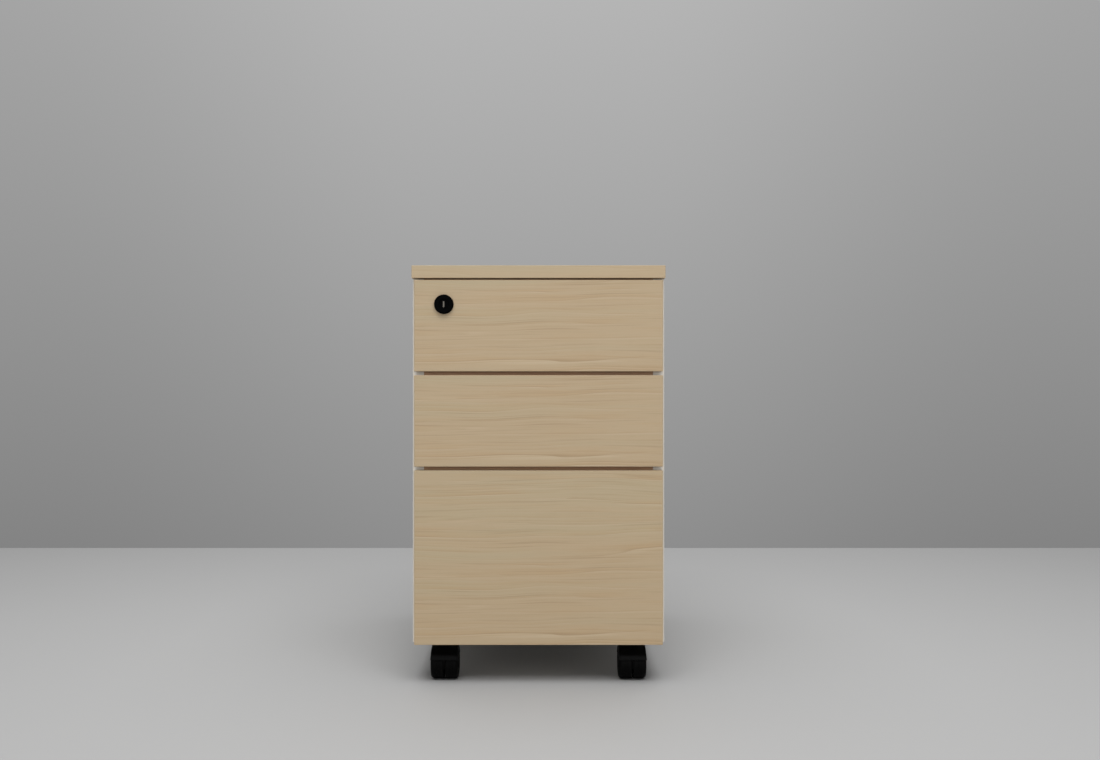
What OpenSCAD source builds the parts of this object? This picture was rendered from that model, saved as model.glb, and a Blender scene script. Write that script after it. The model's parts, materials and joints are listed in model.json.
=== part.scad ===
// Rolling pedestal cabinet: three drawers on ball runners, one central lock, four twin-wheel casters.
// Millimetres, +Z up. The origin is on the floor under the middle of the cabinet; the front faces -Y.

/* [Cabinet] */
// Width over the top panel and over the side panels
cabinet_w = 400; // [330:1:520]
// Depth of the top panel, from the faces of the drawer fronts to the back
cabinet_d = 500; // [400:1:620]
// Height of the side panels
side_h = 577.5; // [475:0.5:720]
// Thickness of the top panel
top_t = 20; // [16:1:30]
// Thickness of the side panels, the bottom panel and the rails
board_t = 18; // [15:1:24]
// Thickness of the back panel
back_t = 16; // [13:1:22]
// Depth of the top rail and of the two divider rails, front to back
rail_d = 60; // [57:1:90]

/* [Drawer fronts] */
// Thickness of a drawer front
front_t = 16; // [13:1:20]
// Height of the top and middle drawer fronts
small_front_h = 144; // [120:1:175]
// Space between the top panel and the top front
top_reveal = 3; // [2:0.5:6]
// Space between two fronts
front_reveal = 6; // [4:0.5:9]
// Width of side panel edge left showing beside a front
side_reveal = 4.15; // [2:0.05:6]
// Space between the closed fronts and the front edges of the side panels
front_gap = 2; // [1:0.1:3]
// Thickness of the rubber dot that a closing front meets
bumper_t = 1.6; // [0.6:0.1:1.8]
// Diameter of the rubber dots
bumper_dia = 8; // [5:0.5:10]

/* [Drawer boxes] */
// Thickness of the box sides and ends
box_t = 12; // [10:0.5:16]
// Thickness of the box bottom
box_bottom_t = 5; // [3:0.5:8]
// Depth of the groove that holds the box bottom
box_groove = 6; // [4:0.5:7]
// Height of the groove above the lower edge of the box
box_groove_z = 8; // [6:1:14]
// Height of a box's lower edge over the edge or the board below it
box_lift = 12; // [10:1:20]
// Height of the bottom box over the bottom panel
box_floor_gap = 8; // [5:1:15]
// Space between the top edge of a box and the lock parts above it
box_lock_gap = 1.5; // [1:0.5:10]

/* [Runners] */
// Height of the cabinet channel of a runner
channel_h = 35; // [30:1:45]
// Thickness of a closed runner, between the side panel and the box
runner_t = 12.7; // [12:0.1:16]
// Sheet thickness of the channels
sheet_t = 1.2; // [1:0.1:1.6]
// Diameter of the bearing balls
ball_dia = 4; // [3:0.1:5]
// Number of balls in each row of a cage
ball_count = 6; // [4:1:8]
// Space behind the runners, in front of the back panel
runner_rear_gap = 14; // [8:1:30]
// Distance from the front edge of a side panel to the runner
runner_inset = 2; // [1:0.5:10]
// Length of runner that stays engaged when a drawer is fully open
runner_lap = 120; // [90:1:180]
// Height of the runner's middle over the lower edge of the box
runner_lift = 24; // [22:1:40]

/* [Lock] */
// Diameter of the round rosette
rosette_dia = 30.7; // [24:0.1:40]
// How far the rosette stands out from the drawer front
rosette_out = 6; // [4:0.5:9]
// Diameter of the threaded barrel of the lock
barrel_dia = 19; // [17:0.5:22]
// Length of the barrel behind the face of the drawer front
barrel_l = 30; // [25:1:40]
// Diameter of the turning plug
plug_dia = 13; // [12:0.5:14]
// Height of the key slot
key_h = 10.4; // [8:0.1:11]
// Width of the key slot
key_w = 2.8; // [2:0.1:3.5]
// Distance of the lock axis from the left edge of the front
lock_inset = 47; // [40:1:60]
// Distance of the lock axis below the top edge of the front
lock_drop = 38.5; // [36:0.5:45]
// Radius on which the drive pin turns
throw_r = 7; // [6:0.1:8]
// Diameter of the drive pin
drive_pin_dia = 4; // [3:0.1:4.5]
// Thickness of the lock bar
bar_t = 5; // [3:0.5:6]
// Width of the lock bar
bar_w = 16; // [12:1:20]
// Diameter of the pegs on the lock bar
peg_dia = 5; // [4:0.5:6]

/* [Casters] */
// Height of a caster, from the floor to the top of its plate
caster_h = 62.5; // [60:0.5:75]
// Diameter of the wheels
wheel_dia = 50; // [41:1:50]
// Width over both wheels
caster_w = 44; // [40:1:52]
// Space between the two wheels
wheel_gap = 2.6; // [2.2:0.1:4]
// Diameter of the axle
axle_dia = 6; // [5:0.5:8]
// Distance from the swivel axis to the axle
trail = 27; // [25:0.5:34]
// Diameter of the stem
stem_dia = 8; // [7:0.5:10]
// Side of the square plate
plate_w = 42; // [38:1:50]
// Distance between the plate's screw holes
plate_pitch = 32; // [28:1:40]
// Thickness of the plate
plate_t = 2.5; // [2:0.1:3]
// Distance of the swivel axes from the outer faces of the side panels
caster_inset_x = 50; // [45:1:80]
// Distance of the swivel axes from the front and back edges of the side panels
caster_inset_y = 49; // [45:1:80]

/* [Board fittings] */
// Diameter of the cam housings
cam_dia = 15; // [12:0.5:16]
// Distance from a cam's axis to the end of its board
cam_reach = 34; // [24:1:40]
// Diameter of a cam bolt's shank
cam_bolt_dia = 7; // [6:0.5:7.5]
// Depth that a cam bolt screws into the other board
cam_bolt_in = 11; // [9:0.5:12]
// Diameter of the dowels
dowel_dia = 8; // [6:0.5:8]
// Depth of a dowel in the end of a board
dowel_end_in = 20; // [15:1:25]
// Depth of a dowel in the face of a board
dowel_face_in = 10; // [8:0.5:12]
// Diameter of the wood screws
screw_dia = 3.4; // [3:0.1:4]

/* [Hidden] */
$fn = 64;
fit = 0.05;            // radial clearance of turning fits
snug = 0.02;           // radial clearance of fixed pins and screws
slack = 0.3;           // clearance between moving or loosely seated faces
eps = 0.5;             // how far a cut runs past a face

side_x = cabinet_w / 2;
inner_x = side_x - board_t;
face_y = (rosette_out - cabinet_d) / 2;
back_y = face_y + cabinet_d;
carcass_y = face_y + front_t + front_gap;
inner_back_y = back_y - back_t;
base_z = caster_h;
floor_z = base_z + board_t;
top_z = base_z + side_h;

// Drawers, from the top down: [name, lower edge of the front, height of the front, lower edge of the box]
front_w = cabinet_w - 2 * side_reveal;
nut_flats = barrel_dia + 5;
throw_half = throw_r * sin(45);
tab_margin = 3.8;
slot_r = drive_pin_dia / 2 + 0.45;
box_drop = lock_drop + max(nut_flats / 2, throw_half + slot_r + tab_margin) + box_lock_gap;
top_front_z = top_z - top_reveal - small_front_h;
middle_front_z = top_front_z - front_reveal - small_front_h;
bottom_front_h = middle_front_z - front_reveal - base_z;
DRAWERS = [
    ["top", top_front_z, small_front_h, top_front_z + box_lift],
    ["middle", middle_front_z, small_front_h, middle_front_z + box_lift],
    ["bottom", base_z, bottom_front_h, floor_z + box_floor_gap]
];
function front_z(d) = d[1];
function front_h(d) = d[2];
function box_z(d) = d[3];
function box_h(d) = front_z(d) + front_h(d) - box_drop - box_z(d);
function runner_z(d) = box_z(d) + runner_lift;

box_x = inner_x - runner_t;
box_y = face_y + front_t;
runner_y = carcass_y + runner_inset;
runner_l = inner_back_y - runner_rear_gap - runner_y;
box_d = runner_y + runner_l - box_y;
travel = runner_l - runner_lap;

// Runner section, measured from the side panel's face
ball_space = ball_dia + slack;
ball_play = 0.1;         // radial clearance of a ball in its cage
drawer_rail_h = channel_h - 2 * sheet_t - 2 * ball_space;
ball_z = channel_h / 2 - sheet_t - ball_space / 2;
cage_t = 0.6;
screw_head_t = 1.7;
cage_u = sheet_t + screw_head_t + slack;
rail_gap = 0.8;          // space between a cage and the drawer rail
rail_u = cage_u + cage_t + rail_gap;
ball_inset = 0.2;        // how far the balls stand back from the edge of the drawer rail
ball_u = rail_u + ball_inset + ball_dia / 2;
cage_edge = 0.6;         // strip of cage left beside a ball's hole
lip_u = ball_u + ball_dia / 2 + 2 * slack + cage_edge / 2;
lip_h = sheet_t + (ball_space - cage_t) / 2;
cage_margin = 10;
cage_l = runner_lap - 2 * cage_margin;
cage_y = runner_y + travel / 2 + cage_margin;
screw_head_dia = 7;
screw_in = 13;
channel_screw_end = 35;

// Lock
lock_x = -front_w / 2 + lock_inset;
lock_z = top_front_z + small_front_h - lock_drop;
rosette_round = rosette_out / 2;
nut_t = 3;
plug_recess = 0.5;
key_depth = 18;
disc_t = 2.2;
disc_dia = 2 * throw_r + drive_pin_dia + 1;
drive_pin_l = 12;
tab_t = 2;
disc_clear = 1;
bar_y = box_y + (barrel_l - front_t) + disc_t + drive_pin_l / 2 + disc_clear;
groove_depth = bar_t + 1.5;
bar_x = -inner_x - groove_depth + slack;
bar_face_x = bar_x + bar_t;
slot_play = 0.5;
peg_over_runner = 6;
peg_z = runner_lift + channel_h / 2 + peg_over_runner;
peg_reach = 9;
catch_u = 6;
catch_over_peg = 2;
catch_behind_peg = 1;
catch_z = peg_z + peg_dia / 2 + catch_over_peg;
catch_h = 12;
catch_l = 12;
catch_y = bar_y + peg_dia / 2 + catch_behind_peg;
bar_end = 10;
bar_low_z = box_z(DRAWERS[2]) + peg_z - bar_end;
bar_high_z = lock_z - throw_half + bar_end;
guide_t = 1.8;
guide_h = 16;
guide_l = 34;
GUIDES_Z = [
    (box_z(DRAWERS[0]) + box_z(DRAWERS[1]) + box_h(DRAWERS[1])) / 2 - guide_h,
    (box_z(DRAWERS[1]) + box_z(DRAWERS[2]) + box_h(DRAWERS[2])) / 2 - guide_h,
    box_z(DRAWERS[2]) + catch_z + catch_h + guide_h
];

// Casters: [name, x, y]
caster_x = side_x - caster_inset_x;
CASTERS = [
    ["front_left", -caster_x, carcass_y + caster_inset_y],
    ["front_right", caster_x, carcass_y + caster_inset_y],
    ["rear_left", -caster_x, back_y - caster_inset_y],
    ["rear_right", caster_x, back_y - caster_inset_y]
];
wheel_r = wheel_dia / 2;
hood_in_r = wheel_r + 1;
hood_r = hood_in_r + 2;
hood_rim_z = wheel_r + 9.8;
hood_taper = 0.85;
hood_cut = 1;            // how far the hood's round cuts run past its sides
web_t = wheel_gap - 1;
web_low_z = 20;
hub_dia = 16;
hub_half = 9;
hub_play = 0.5;
boss_dia = stem_dia + 8;
collar_t = 2.3;
boss_top_z = caster_h - plate_t - collar_t;
boss_low_z = wheel_r + sqrt(pow(hood_in_r, 2) - pow(trail - boss_dia / 2, 2));
neck_t = 6;
shoulder_r = 5.5;
rim_t = 4.5;
wheel_wall = 6;
wheel_chamfer = 0.8;
wheel_bore_l = 15;
dish_depth = 1;
dish_out_r = wheel_r * 0.7;
dish_in_r = wheel_r * 0.32;
dish_slope = wheel_r * 0.04;
plate_round = 4;

// Places of the board fittings
bumper_drop = 3 * bumper_dia;
cam_inset = 110;
cam_y_front = carcass_y + cam_inset;
cam_y_back = inner_back_y - cam_inset;
dowel_shift = 32;
rail_cam_behind_bar = 9;
rail_cam_y = bar_y + bar_w / 2 + rail_cam_behind_bar;
rail_dowel_shift = 12;
upper_rail_z = top_front_z - front_reveal / 2 - board_t / 2;
lower_rail_z = middle_front_z - front_reveal / 2 - board_t / 2;
RAILS_Z = [top_z - board_t, upper_rail_z, lower_rail_z];
BACK_CAMS_Z = [base_z + side_h * 0.2, base_z + side_h * 0.75];

// Cam joints: [point on the board face over the cam, turn of the face, turn about the cam, board thickness]
DOWN = [180, 0, 0];
FORWARD = [90, 0, 0];
CAMS = concat(
    [for (y = [cam_y_front, cam_y_back], s = [-1, 1])
        [[s * (inner_x - cam_reach), y, base_z], DOWN, 90 - 90 * s, board_t]],
    [for (z = BACK_CAMS_Z, s = [-1, 1])
        [[s * (inner_x - cam_reach), inner_back_y, z], FORWARD, 90 - 90 * s, back_t]],
    [for (z = RAILS_Z, s = [-1, 1])
        [[s * (inner_x - cam_reach), rail_cam_y, z], DOWN, 90 - 90 * s, board_t]],
    [for (y = [cam_y_front, cam_y_back], s = [-1, 1])
        [[s * inner_x, y, top_z - cam_reach], [0, -90, 90 - 90 * s], 0, board_t]]
);
// Dowels: [point on the joint, turn that takes +X into the face of the other board]
DOWELS = concat(
    [for (y = [cam_y_front + dowel_shift, cam_y_back - dowel_shift], s = [-1, 1])
        [[s * inner_x, y, base_z + board_t / 2], [0, 0, 90 - 90 * s]]],
    [for (z = BACK_CAMS_Z, s = [-1, 1])
        [[s * inner_x, back_y - back_t / 2, z - dowel_shift], [0, 0, 90 - 90 * s]]],
    [for (z = RAILS_Z, s = [-1, 1])
        [[s * inner_x, rail_cam_y + rail_dowel_shift, z + board_t / 2], [0, 0, 90 - 90 * s]]],
    [for (y = [cam_y_front + dowel_shift, cam_y_back - dowel_shift], s = [-1, 1])
        [[s * (side_x - board_t / 2), y, top_z], [0, -90, 0]]]
);

DRAWER_PIECES = ["front", "box_sides", "box_ends", "box_bottom", "rails", "catch", "ball_cages"];
CASTER_PIECES = ["hood", "axle", "left_wheel", "right_wheel"];

// Points on an arc about a centre, from one angle to another
function arc(centre, r, from, to, steps = 8) =
    [for (i = [0:steps]) let(a = from + (to - from) * i / steps) centre + r * [cos(a), sin(a)]];

// A block from its low corner to its high corner
module block(low, high) {
    translate(low) cube(high - low);
}

// A rod from x = 0 to x = length
module rod_x(length, dia) {
    rotate([0, 90, 0]) cylinder(h = length, d = dia);
}

// Draws its children on the left, and mirrored on the right
module both_sides() {
    children();
    mirror([1, 0, 0]) children();
}

// ---- Cam fittings and dowels ----

cam_head_dia = cam_bolt_dia - 0.5;
cam_head_l = 3;
cam_neck_dia = cam_bolt_dia - 3;
cam_thread_dia = cam_bolt_dia - 2;
cam_shank_x = cam_dia * 0.7;
cam_pocket_dia = cam_dia * 0.62;
cam_pocket_h = cam_bolt_dia * 1.2;
cross_l = 8;
cross_w = 1.6;
cross_depth = 1;

// A housing reaches as deep as the head of its bolt, whose axis is in the middle of the board
function cam_depth(cam) = (cam[3] + cam_head_dia) / 2;

module place_cam(cam) {
    translate(cam[0]) rotate(cam[1]) rotate([0, 0, cam[2]]) children();
}

module cam_bores() {
    for (cam = CAMS) place_cam(cam) {
        translate([0, 0, -cam_depth(cam) - slack])
            cylinder(h = cam_depth(cam) + slack + eps, d = cam_dia + 2 * snug);
        translate([0, 0, -cam[3] / 2]) {
            rod_x(cam_reach + eps, cam_bolt_dia + 2 * fit);
            rod_x(cam_reach + cam_bolt_in + slack, cam_thread_dia + 2 * snug);
        }
    }
    for (dowel = DOWELS) translate(dowel[0]) rotate(dowel[1])
        translate([-dowel_end_in - slack, 0, 0])
            rod_x(dowel_end_in + dowel_face_in + 2 * slack, dowel_dia + 2 * snug);
}

module cam_housings() {
    color("silver") for (cam = CAMS) place_cam(cam) difference() {
        translate([0, 0, -cam_depth(cam)]) cylinder(h = cam_depth(cam), d = cam_dia);
        translate([0, 0, -(cam[3] + cam_pocket_h) / 2]) cylinder(h = cam_pocket_h, d = cam_pocket_dia);
        translate([0, 0, -cam[3] / 2]) rod_x(cam_dia, cam_bolt_dia + 2 * slack);
        for (turn = [45, 135]) rotate([0, 0, turn])
            block([-cross_l / 2, -cross_w / 2, -cross_depth], [cross_l / 2, cross_w / 2, eps]);
    }
}

module cam_bolts() {
    color("gainsboro") for (cam = CAMS) place_cam(cam) translate([0, 0, -cam[3] / 2]) {
        translate([-cam_head_l / 2, 0, 0]) rod_x(cam_head_l, cam_head_dia);
        rod_x(cam_shank_x, cam_neck_dia);
        translate([cam_shank_x, 0, 0]) rod_x(cam_reach - cam_shank_x, cam_bolt_dia);
        translate([cam_reach, 0, 0]) rod_x(cam_bolt_in, cam_thread_dia);
    }
}

module dowels() {
    color("burlywood") for (dowel = DOWELS) translate(dowel[0]) rotate(dowel[1])
        translate([-dowel_end_in, 0, 0]) rod_x(dowel_end_in + dowel_face_in, dowel_dia);
}

// ---- Carcass ----

module top_panel() {
    color("burlywood") difference() {
        block([-side_x, face_y, top_z], [side_x, back_y, top_z + top_t]);
        cam_bores();
    }
}

module bar_groove() {
    block([-inner_x - groove_depth, bar_y - bar_w / 2 - slack, bar_low_z - bar_end],
          [-inner_x + eps, bar_y + bar_w / 2 + slack, top_z + eps]);
}

module channel_screw_bores() {
    for (d = DRAWERS, y = CHANNEL_SCREWS_Y) translate([-inner_x - screw_in - slack, y, runner_z(d)])
        rod_x(screw_in + slack + eps, screw_dia + 2 * snug);
}

module left_side_panel() {
    color("white") difference() {
        block([-side_x, carcass_y, base_z], [-inner_x, back_y, top_z]);
        cam_bores();
        channel_screw_bores();
        bar_groove();
    }
}

module right_side_panel() {
    color("white") difference() {
        block([inner_x, carcass_y, base_z], [side_x, back_y, top_z]);
        cam_bores();
        mirror([1, 0, 0]) channel_screw_bores();
    }
}

module bottom_panel() {
    color("white") difference() {
        block([-inner_x, carcass_y, base_z], [inner_x, inner_back_y, floor_z]);
        cam_bores();
        caster_screw_bores();
    }
}

module back_panel() {
    color("white") difference() {
        block([-inner_x, inner_back_y, base_z], [inner_x, back_y, top_z]);
        cam_bores();
    }
}

module cross_rail(z) {
    difference() {
        block([-inner_x, carcass_y, z], [inner_x, carcass_y + rail_d, z + board_t]);
        cam_bores();
    }
}

module top_rail() {
    color("burlywood") cross_rail(RAILS_Z[0]);
}

module upper_divider_rail() {
    color("burlywood") cross_rail(RAILS_Z[1]);
}

module lower_divider_rail() {
    color("burlywood") cross_rail(RAILS_Z[2]);
}

module front_bumpers() {
    color("gainsboro") both_sides() for (d = DRAWERS)
        translate([-side_x + board_t / 2, carcass_y, front_z(d) + front_h(d) - bumper_drop])
            rotate([90, 0, 0]) cylinder(h = bumper_t, d = bumper_dia);
}

// ---- Runners, drawn for the left side ----

CHANNEL_SCREWS_Y = [
    runner_y + channel_screw_end,
    runner_y + runner_l / 2,
    runner_y + runner_l - channel_screw_end
];

// Draws a section in (distance from the side panel, height) along a length of the runner
module along_runner(d, y, length) {
    translate([-inner_x, y + length, runner_z(d)]) rotate([90, 0, 0]) linear_extrude(length) children();
}

module channel_section() {
    h = channel_h / 2;
    u = lip_u + sheet_t;
    half = [[sheet_t, h - sheet_t], [lip_u, h - sheet_t], [lip_u, h - lip_h], [u, h - lip_h], [u, h], [0, h]];
    low = [for (i = [len(half) - 1:-1:0]) [half[i][0], -half[i][1]]];
    polygon(concat(half, low));
}

module drawer_rail_section() {
    h = drawer_rail_h / 2;
    w = runner_t - sheet_t;
    polygon([[runner_t, -h], [runner_t, h], [rail_u, h], [rail_u, h - sheet_t],
             [w, h - sheet_t], [w, sheet_t - h], [rail_u, sheet_t - h], [rail_u, -h]]);
}

module cage_section() {
    h = ball_z + cage_t / 2;
    w = ball_u + ball_dia / 2 + ball_play + cage_edge;
    polygon([[cage_u, -h], [w, -h], [w, cage_t - h], [cage_u + cage_t, cage_t - h],
             [cage_u + cage_t, h - cage_t], [w, h - cage_t], [w, h], [cage_u, h]]);
}

module channels() {
    for (d = DRAWERS) difference() {
        along_runner(d, runner_y, runner_l) channel_section();
        for (y = CHANNEL_SCREWS_Y) translate([-inner_x - eps, y, runner_z(d)])
            rod_x(sheet_t + 2 * eps, screw_dia + 2 * fit);
    }
}

module left_channels() {
    color("silver") channels();
}

module right_channels() {
    color("silver") mirror([1, 0, 0]) channels();
}

module channel_screws() {
    color("gray") both_sides() for (d = DRAWERS, y = CHANNEL_SCREWS_Y)
        translate([-inner_x - screw_in, y, runner_z(d)]) {
            rod_x(screw_in + sheet_t, screw_dia);
            translate([screw_in + sheet_t, 0, 0]) rod_x(screw_head_t, screw_head_dia);
        }
}

module rails(d) {
    color("silver") both_sides() along_runner(d, runner_y, runner_l) drawer_rail_section();
}

module ball_cages(d) {
    pitch = cage_l / ball_count;
    color("goldenrod") both_sides() difference() {
        along_runner(d, cage_y, cage_l) cage_section();
        for (i = [0:ball_count - 1])
            translate([-inner_x + ball_u, cage_y + pitch * (i + 0.5), runner_z(d) - channel_h / 2])
                cylinder(h = channel_h, d = ball_dia + 2 * ball_play);
    }
    color("silver") both_sides() for (i = [0:ball_count - 1], s = [-1, 1])
        translate([-inner_x + ball_u, cage_y + pitch * (i + 0.5), runner_z(d) + s * ball_z])
            sphere(d = ball_dia);
}

// ---- Drawers ----

module front(d) {
    color("burlywood") difference() {
        block([-front_w / 2, face_y, front_z(d)], [front_w / 2, face_y + front_t, front_z(d) + front_h(d)]);
        if (d[0] == "top") translate([lock_x, face_y + front_t + eps, lock_z])
            rotate([90, 0, 0]) cylinder(h = front_t + 2 * eps, d = barrel_dia + 2 * fit);
    }
}

// The space that the box bottom fills, with its clearance in the groove
module bottom_space(d, play) {
    x = box_x - box_t + box_groove;
    y = box_t - box_groove;
    block([-x - play, box_y + y - play, box_z(d) + box_groove_z],
          [x + play, box_y + box_d - y + play, box_z(d) + box_groove_z + box_bottom_t + play]);
}

module box_sides(d) {
    color("white") difference() {
        both_sides() block([-box_x, box_y, box_z(d)], [box_t - box_x, box_y + box_d, box_z(d) + box_h(d)]);
        bottom_space(d, slack);
    }
}

module box_ends(d) {
    x = box_x - box_t;
    color("white") difference() {
        for (y = [box_y, box_y + box_d - box_t])
            block([-x, y, box_z(d)], [x, y + box_t, box_z(d) + box_h(d)]);
        bottom_space(d, slack);
    }
}

module box_bottom(d) {
    color("white") bottom_space(d, 0);
}

// The block on the box side that the raised peg of the lock bar holds back
module catch(d) {
    color("dimgray") block([-inner_x + catch_u, catch_y, box_z(d) + catch_z],
                           [-box_x, catch_y + catch_l, box_z(d) + catch_z + catch_h]);
}

// ---- Lock ----

// Puts its children on the lock's axis, their +Z pointing out of the drawer front
module on_lock() {
    translate([lock_x, face_y, lock_z]) rotate([90, 0, 0]) children();
}

module lock_housing() {
    r = rosette_dia / 2;
    edge = arc([r - rosette_round, rosette_out - rosette_round], rosette_round, 0, 90);
    color("black") on_lock() rotate_extrude() polygon(concat(
        [[plug_dia / 2 + fit, -barrel_l], [barrel_dia / 2, -barrel_l], [barrel_dia / 2, 0], [r, 0]],
        edge,
        [[plug_dia / 2 + fit, rosette_out]]
    ));
}

module lock_nut() {
    color("silver") on_lock() translate([0, 0, -front_t - nut_t]) difference() {
        cylinder(h = nut_t, d = nut_flats / cos(30), $fn = 6);
        translate([0, 0, -eps]) cylinder(h = nut_t + 2 * eps, d = barrel_dia + 2 * snug);
    }
}

module key_slot(depth) {
    h = (key_h - key_w) / 2;
    block([-key_w / 2, -h, -depth], [key_w / 2, h, eps]);
    for (s = [-1, 1]) translate([0, s * h, -depth]) cylinder(h = depth + eps, d = key_w);
}

module lock_plug() {
    rear_z = -barrel_l - slack;
    color("black") on_lock() {
        difference() {
            translate([0, 0, rear_z]) cylinder(h = rosette_out - plug_recess - rear_z, d = plug_dia);
            translate([0, 0, rosette_out - plug_recess]) key_slot(key_depth);
        }
        translate([0, 0, rear_z - disc_t]) cylinder(h = disc_t, d = disc_dia);
        translate([-throw_half, -throw_half, rear_z - disc_t - drive_pin_l])
            cylinder(h = drive_pin_l, d = drive_pin_dia);
    }
}

module lock_bar() {
    slot_z = lock_z - throw_half;
    color("silver") {
        block([bar_x, bar_y - bar_w / 2, bar_low_z], [bar_face_x, bar_y + bar_w / 2, bar_high_z]);
        for (d = DRAWERS) translate([bar_x + bar_t / 2, bar_y, box_z(d) + peg_z])
            rod_x(peg_reach - inner_x - bar_x - bar_t / 2, peg_dia);
        difference() {
            block([bar_x + bar_t / 2, bar_y - tab_t / 2, slot_z - slot_r - tab_margin],
                  [lock_x, bar_y + tab_t / 2, slot_z + slot_r + tab_margin]);
            for (x = [lock_x - throw_r - slot_play, lock_x - throw_half])
                translate([x, bar_y + tab_t, slot_z]) rotate([90, 0, 0]) cylinder(h = 2 * tab_t, r = slot_r);
            block([lock_x - throw_r - slot_play, bar_y - tab_t, slot_z - slot_r],
                  [lock_x - throw_half, bar_y + tab_t, slot_z + slot_r]);
        }
    }
}

module lock_bar_guides() {
    color("white") for (z = GUIDES_Z)
        block([-inner_x, bar_y - guide_l / 2, z], [-inner_x + guide_t, bar_y + guide_l / 2, z + guide_h]);
}

// ---- Casters ----

module caster_screws_at(d, length, z) {
    for (c = CASTERS, sx = [-1, 1], sy = [-1, 1])
        translate([c[1] + sx * plate_pitch / 2, c[2] + sy * plate_pitch / 2, z]) cylinder(h = length, d = d);
}

module caster_screw_bores() {
    caster_screws_at(screw_dia + 2 * snug, screw_in + slack + eps, base_z - eps);
}

module caster_plates() {
    r = plate_round;
    w = plate_w / 2;
    z = caster_h - plate_t;
    color("gainsboro") difference() {
        for (c = CASTERS) translate([c[1], c[2], z]) {
            block([-w, r - w, 0], [w, w - r, plate_t]);
            block([r - w, -w, 0], [w - r, w, plate_t]);
            for (sx = [-1, 1], sy = [-1, 1])
                translate([sx * (w - r), sy * (w - r), 0]) cylinder(h = plate_t, r = r);
        }
        for (c = CASTERS)
            translate([c[1], c[2], z - eps]) cylinder(h = plate_t + 2 * eps, d = stem_dia + 2 * snug);
        caster_screws_at(screw_dia + 2 * fit, plate_t + 2 * eps, z - eps);
    }
}

module caster_stems() {
    low = boss_low_z + slack;
    color("gray") for (c = CASTERS) translate([c[1], c[2], 0]) {
        translate([0, 0, low]) cylinder(h = caster_h - low, d = stem_dia);
        translate([0, 0, boss_top_z + slack]) cylinder(h = collar_t - slack, d = boss_dia - 2);
    }
}

module caster_screws() {
    z = base_z - plate_t;
    color("gray") {
        caster_screws_at(screw_dia, screw_in + plate_t, z);
        caster_screws_at(screw_head_dia, screw_head_t, z - screw_head_t);
    }
}

// Draws on a caster's axle, with +X along it
module on_axle(c) {
    translate([c[1], c[2] - trail, wheel_r]) children();
}

module wheel_disc(r, half) {
    translate([-half, 0, 0]) rod_x(2 * half, 2 * r);
}

module hood(c) {
    w = caster_w / 2;
    rim = hood_rim_z - wheel_r;
    color("black") difference() {
        union() {
            on_axle(c) {
                intersection() {
                    difference() {
                        wheel_disc(hood_r, w + hood_cut);
                        wheel_disc(hood_in_r, w + 2 * hood_cut);
                    }
                    rotate([90, 0, 0]) translate([0, 0, -hood_r]) linear_extrude(2 * hood_r)
                        polygon([[-w, rim], [w, rim], [w - hood_taper, hood_r], [hood_taper - w, hood_r]]);
                }
                intersection() {
                    wheel_disc(hood_in_r + 1, web_t / 2);
                    block([-w, -hood_r, web_low_z - wheel_r], [w, hood_r, hood_r]);
                }
                wheel_disc(hub_dia / 2, hub_half);
            }
            translate([c[1], c[2], boss_low_z]) cylinder(h = boss_top_z - boss_low_z, d = boss_dia);
            translate([c[1], c[2], 0]) difference() {
                block([-neck_t / 2, -boss_dia / 2, hood_rim_z], [neck_t / 2, boss_dia / 2, boss_low_z + 1]);
                translate([0, -trail, wheel_r]) wheel_disc(hood_in_r, neck_t);
            }
        }
        on_axle(c) wheel_disc(axle_dia / 2 + snug, hub_half + eps);
        translate([c[1], c[2], boss_low_z]) cylinder(h = caster_h, d = stem_dia + 2 * fit);
        translate([c[1], c[2], hood_rim_z - eps]) cylinder(h = boss_low_z, d = stem_dia + 2 * fit);
    }
}

module axle(c) {
    color("silver") on_axle(c) wheel_disc(axle_dia / 2, wheel_gap / 2 + hub_half + wheel_bore_l / 2);
}

// A wheel's section, as [distance from the caster's middle, radius], turned about the axle
module wheel(c, side) {
    w = caster_w / 2;
    inner = wheel_gap / 2;
    hub_x = hub_half + hub_play;
    bore_r = axle_dia / 2 + fit;
    axle_end = inner + hub_half + wheel_bore_l / 2 + slack;
    shoulder = arc([w - shoulder_r, wheel_r - shoulder_r], shoulder_r, 90, 0);
    color("black") on_axle(c) mirror([side > 0 ? 0 : 1, 0, 0]) rotate([0, 90, 0]) rotate_extrude()
        polygon([for (p = concat(
            [[inner, wheel_r - rim_t], [inner, wheel_r - wheel_chamfer], [inner + wheel_chamfer, wheel_r]],
            shoulder,
            [[w, dish_out_r], [w - dish_depth, dish_out_r - dish_slope]],
            [[w - dish_depth, dish_in_r + dish_slope], [w, dish_in_r], [w, 0]],
            [[axle_end, 0], [axle_end, bore_r], [hub_x, bore_r], [hub_x, hub_dia / 2]],
            [[w - wheel_wall, hub_dia / 2], [w - wheel_wall, wheel_r - rim_t]]
        )) [p[1], p[0]]]);
}

// ---- What is drawn ----

top_panel();
left_side_panel();
right_side_panel();
bottom_panel();
back_panel();
top_rail();
upper_divider_rail();
lower_divider_rail();
cam_housings();
cam_bolts();
dowels();
front_bumpers();
left_channels();
right_channels();
channel_screws();
lock_bar_guides();
caster_plates();
caster_stems();
caster_screws();
for (d = DRAWERS) {
    front(d);
    box_sides(d);
    box_ends(d);
    box_bottom(d);
    rails(d);
    catch(d);
    ball_cages(d);
}
lock_housing();
lock_nut();
lock_plug();
lock_bar();
for (c = CASTERS) {
    hood(c);
    axle(c);
    wheel(c, -1);
    wheel(c, 1);
}
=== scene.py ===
"""Rolling pedestal cabinet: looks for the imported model. Metres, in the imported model's own frame."""
import json
import math

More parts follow.
